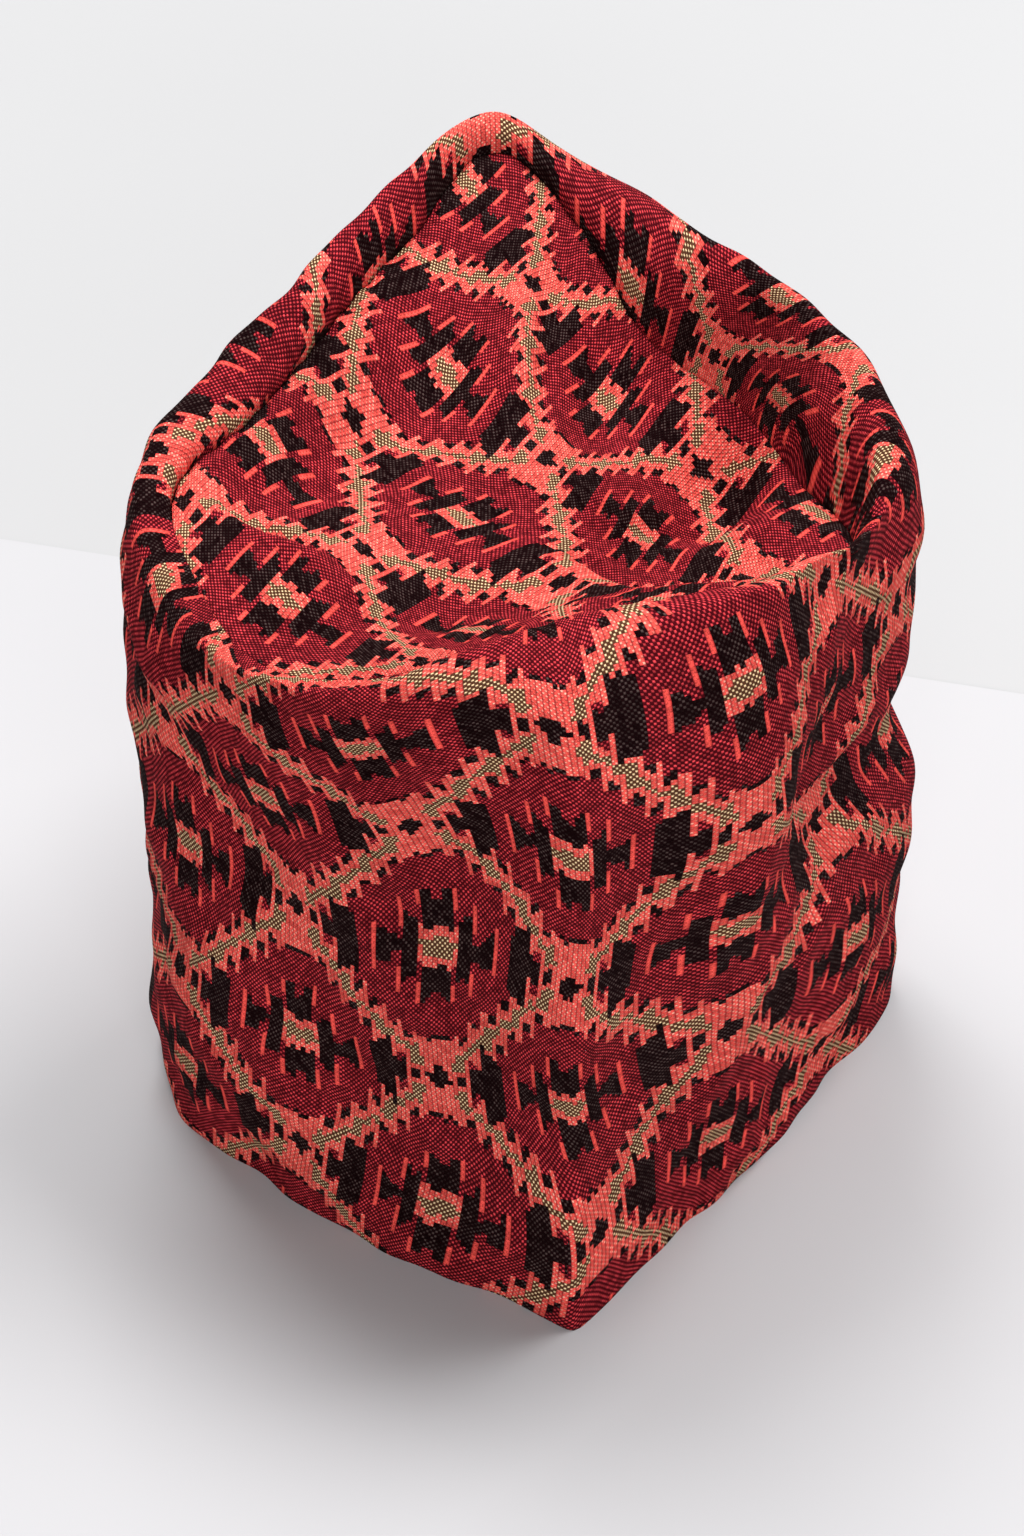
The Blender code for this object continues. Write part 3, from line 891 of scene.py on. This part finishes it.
def woven_cloth(name, wrong_side):
    """Material of the patterned cloth, or of its duller wrong side."""
    material = bpy.data.materials.new(name)
    material.use_nodes = True
    tree = material.node_tree
    shader = tree.nodes["Principled BSDF"]
    d = Draft(tree)
    cloth_map = tree.nodes.new("ShaderNodeUVMap")
    cloth_map.uv_map = "cloth_map"
    apart = tree.nodes.new("ShaderNodeSeparateXYZ")
    d.feed(apart.inputs[0], cloth_map.outputs[0])
    warp = d.times(apart.outputs[0], float(WARP_THREADS))
    weft = d.times(apart.outputs[1], float(WEFT_THREADS))
    warp_thread = d.whole(warp)
    weft_thread = d.whole(weft)
    x, y = quarter_diamond(d, warp_thread, weft_thread)
    coral_part, lines, stripe_part, black_part = pattern_parts(d, x, y)

    # The weave: beads in a quincunx, in wavy rows in the field, each bead a little lighter or darker. Each
    # bead's round back carries a painted highlight, partly the lighter yarn
    plain_bead = d.bead(warp, weft)
    wave = d.times(d.calc("PINGPONG", d.times(warp, 1 / WAVE_THREADS), 1.0), WAVE_RISE)
    wavy_bead = d.bead(warp, d.add(weft, wave))
    stitch = d.chance(warp_thread, weft_thread)
    # Painted highlight: the pink, partly lighter yarn, is brightest on the round backs of the field's beads
    field = d.mix_colours(d.times(wavy_bead, d.ramp(stitch, FIELD_SHINE)), MAROON, PINK)
    # Painted shade: the coral is darker between its warp ribs and lightest on each rib's round back
    coral_with_rib_shade = d.mix_colours(d.ramp(d.dome(d.part(warp)), CORAL_RIB), CORAL_DEEP, CORAL)
    # Painted highlight: pale coral, partly lighter yarn, brightest on the round backs of the beads
    coral_share = d.times(d.calc("POWER", plain_bead, CORAL_BEAD_SHARPNESS), d.ramp(stitch, CORAL_SHINE))
    coral_cloth = d.mix_colours(coral_share, coral_with_rib_shade, CORAL_LIGHT)
    # Painted highlight: cream, partly lighter yarn, brightest on the round backs of the stripe's beads
    stripe_cloth = d.mix_colours(d.calc("POWER", plain_bead, STRIPE_BEAD_SHARPNESS), OLIVE, CREAM)
    # Painted sheen: dim cream on the round backs of the black beads
    black_cloth = d.mix_colours(d.times(plain_bead, d.times(stitch, BLACK_SHINE)), BLACK, CREAM_DIM)
    colour = d.mix_colours(coral_part, field, coral_cloth)
    # The outlines take the coral with its painted rib shade
    colour = d.mix_colours(lines, colour, coral_with_rib_shade)
    colour = d.mix_colours(stripe_part, colour, stripe_cloth)
    colour = d.mix_colours(black_part, colour, black_cloth)

    # The cloth is a little lighter or darker at random, in large soft patches and from stitch to stitch
    patches = d.clouds(TONE_PATCH_SCALE)
    patches.inputs["Detail"].default_value = TONE_PATCH_DETAIL
    shade = tree.nodes.new("ShaderNodeHueSaturation")
    d.feed(shade.inputs["Value"], d.times(d.ramp(patches.outputs[0], TONE_PATCHES), d.ramp(stitch, GRAIN)))
    d.feed(shade.inputs["Color"], colour)
    finished = shade.outputs["Color"]
    if wrong_side:
        finished = d.mix_colours(d.ramp(stitch, WRONG_SIDE), finished, CORAL_DEEP)
    d.feed(shader.inputs["Base Color"], finished)

    patterned = d.either(coral_part, lines, stripe_part, black_part)
    relief = d.add(d.choose(patterned, wavy_bead, plain_bead), d.times(stitch, STITCH_RELIEF))
    bump = tree.nodes.new("ShaderNodeBump")
    bump.inputs["Strength"].default_value = RELIEF_STRENGTH
    bump.inputs["Distance"].default_value = RELIEF_HEIGHT
    d.feed(bump.inputs["Height"], relief)
    d.feed(shader.inputs["Normal"], bump.outputs["Normal"])
    for socket, value in CLOTH_FINISH.items():
        shader.inputs[socket].default_value = value
    return material


def border(side):
    """The outer points of a square grid, in order round it."""
    index = np.arange(side * side).reshape(side, side)
    return np.concatenate((index[0, :-1], index[:-1, -1], index[-1, :0:-1], index[:0:-1, 0]))


def frame_shift(points):
    """The move that sets the middle of the wall's foot box on the solids' origin."""
    middle = (points.min(axis=0) + points.max(axis=0)) / 2
    return np.array((-middle[0], -middle[1], 0.0))


def make_wall(materials):
    """The wall: its outer face, its inner face and the rim and lap between them. Gives the move it made."""
    facing, outer = wall_face(wall_stages(OUTER_ROWS), 0.0)
    facing_in, inner = wall_face(wall_stages(INNER_ROWS), CLOTH)
    shift = frame_shift(outer[:, :-1].reshape(-1, 3))
    lattice = wall_lattice(facing, outer)
    lattice_in = wall_lattice(facing_in, inner)
    rows = np.concatenate((outer, inner[::-1], outer[:1]))
    lattice_rows = np.concatenate((lattice, lattice_in[::-1], lattice[:1]))
    columns = AROUND_STEPS + 1
    quads = grid_faces(len(rows), columns)
    maps = lattice_rows.reshape(-1, 2)[quads]
    row = quads // columns
    column = quads % columns
    joined = (row % (len(rows) - 1)) * AROUND_STEPS + column % AROUND_STEPS
    points = rows[:-1, :-1].reshape(-1, 3) + shift
    inside = (row[:, 0] >= len(outer)).astype(int)
    wall = add_piece("cloth_wall", points, joined, maps, materials, inside)
    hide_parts("side_wall")
    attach(wall, "root")
    return shift


def make_crown(materials, shift):
    """The crown: its upper face, the same face again below it, and the band between their edges."""
    facing, ring = square_rings(CROWN_STEPS * CROWN_FINE)
    top = crown_top(facing, ring)
    side = CROWN_STEPS * CROWN_FINE + 1
    upper = grid_faces(side, side)
    lower = grid_faces(side, side, side * side)[:, ::-1]
    edge = border(side)
    next_edge = np.roll(edge, -1)
    band = np.stack((edge, edge + side * side, next_edge + side * side, next_edge), axis=-1)
    points = np.concatenate((top.reshape(-1, 3), top.reshape(-1, 3) - (0, 0, CLOTH))) + shift
    quads = np.concatenate((upper, lower, band))
    lattice = np.tile(crown_lattice(top).reshape(-1, 2), (2, 1))
    inside = np.concatenate((np.zeros(len(upper)), np.ones(len(lower)), np.zeros(len(band))))
    crown = add_piece("cloth_crown", points, quads, lattice[quads], materials, inside)
    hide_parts("crown")
    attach(crown, "root")


def plain_material(name, colour, roughness):
    """A plain matt material with a faint unevenness."""
    material = bpy.data.materials.new(name)
    material.use_nodes = True
    shader = material.node_tree.nodes["Principled BSDF"]
    d = Draft(material.node_tree)
    darker = tuple(channel * STAGE_DARKER for channel in colour[:3]) + (1.0,)
    d.feed(shader.inputs["Base Color"], d.mix_colours(d.clouds(STAGE_CLOUDS).outputs[0], darker, colour))
    shader.inputs["Roughness"].default_value = roughness
    shader.inputs["Specular IOR Level"].default_value = STAGE_SPECULAR
    return material


def make_ground():
    """A white floor and a pale grey sheet of card on it, whose back edge runs aslant."""
    quad = np.array(((0, 1, 2, 3),))
    for name, material_name, colour, roughness, height, corners in GROUND:
        points = np.array([corner + (height,) for corner in corners])
        material = plain_material(material_name, colour, roughness)
        add_piece(name, points, quad, None, (material,), np.zeros(1))


def make_lights():
    """Soft white light from all round and three square lamps, each turned to its aim."""
    bpy.context.scene.view_settings.view_transform = "Standard"
    world = bpy.data.worlds.new("studio")
    bpy.context.scene.world = world
    world.use_nodes = True
    world.node_tree.nodes["Background"].inputs["Color"].default_value = (1.0, 1.0, 1.0, 1.0)
    world.node_tree.nodes["Background"].inputs["Strength"].default_value = WORLD_STRENGTH
    for name, spot, aim, size, power in LIGHTS:
        lamp = bpy.data.lights.new(name, "AREA")
        lamp.size = size
        lamp.energy = power
        holder = bpy.data.objects.new(name, lamp)
        holder.location = spot
        towards = np.array(aim) - np.array(spot)
        flat = math.hypot(towards[0], towards[1])
        holder.rotation_euler = (math.atan2(flat, -towards[2]), 0.0, math.atan2(-towards[0], towards[1]))
        bpy.context.scene.collection.objects.link(holder)


def make_camera():
    """The camera, at the photograph's viewing angle."""
    lens = bpy.data.cameras.new("camera")
    lens.sensor_fit = "VERTICAL"
    lens.sensor_height = FILM
    lens.lens = LENS
    camera = bpy.data.objects.new("camera", lens)
    camera.location = EYE
    camera.rotation_euler = (math.radians(90.0 - EYE_DROP), 0.0, 0.0)
    bpy.context.scene.collection.objects.link(camera)
    bpy.context.scene.camera = camera


both_sides = (woven_cloth("patterned_cloth", False), woven_cloth("patterned_cloth_inside", True))
wall_shift = make_wall(both_sides)
make_crown(both_sides, wall_shift)
make_ground()
make_lights()
make_camera()
